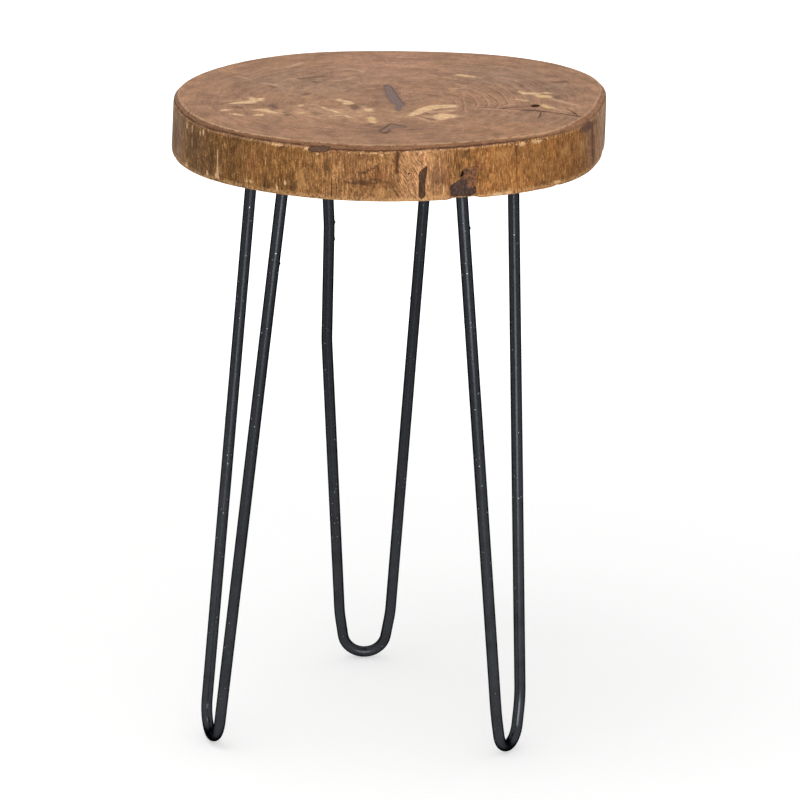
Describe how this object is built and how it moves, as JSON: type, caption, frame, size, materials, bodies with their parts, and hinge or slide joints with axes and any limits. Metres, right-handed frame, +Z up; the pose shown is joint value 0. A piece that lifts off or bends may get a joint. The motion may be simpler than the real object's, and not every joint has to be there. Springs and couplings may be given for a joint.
{
  "type": "side table",
  "caption": "Low round side table: a slice of tree trunk, end grain up with crack fillers let in, on bent-rod hairpin legs screwed to its underside.",
  "frame": {"origin": "on the floor, under the middle of the slab's outline", "axes": "+Z up; -Y towards the front, where the knot and the dark crack are in the slab's side; +X to the right seen from the front"},
  "size_m": [0.3893, 0.4051, 0.6],
  "materials": {
    "slab_wood": "end grain and split-bark side, oiled satin",
    "dark_filler": "smooth dark wood filler, sanded flush",
    "grey_filler": "thin grey wood filler, sanded flush",
    "knot_wood": "dead dark branch wood, cracked",
    "black_coat": "black textured powder coat, satin",
    "screw_steel": "bright zinc plate"
  },
  "bodies": {
    "root": {"top_slab": "slab_wood", "centre_crack_fill": "dark_filler", "arc_crack_fill": "grey_filler", "rim_fill": "dark_filler", "side_crack_fill": "dark_filler", "side_knot": "knot_wood", "left_leg_rod": "black_coat", "left_leg_plate": "black_coat", "left_leg_welds": "black_coat", "left_leg_screws": "screw_steel", "back_leg_rod": "black_coat", "back_leg_plate": "black_coat", "back_leg_welds": "black_coat", "back_leg_screws": "screw_steel", "right_leg_rod": "black_coat", "right_leg_plate": "black_coat", "right_leg_welds": "black_coat", "right_leg_screws": "screw_steel"}
  },
  "joints": []
}
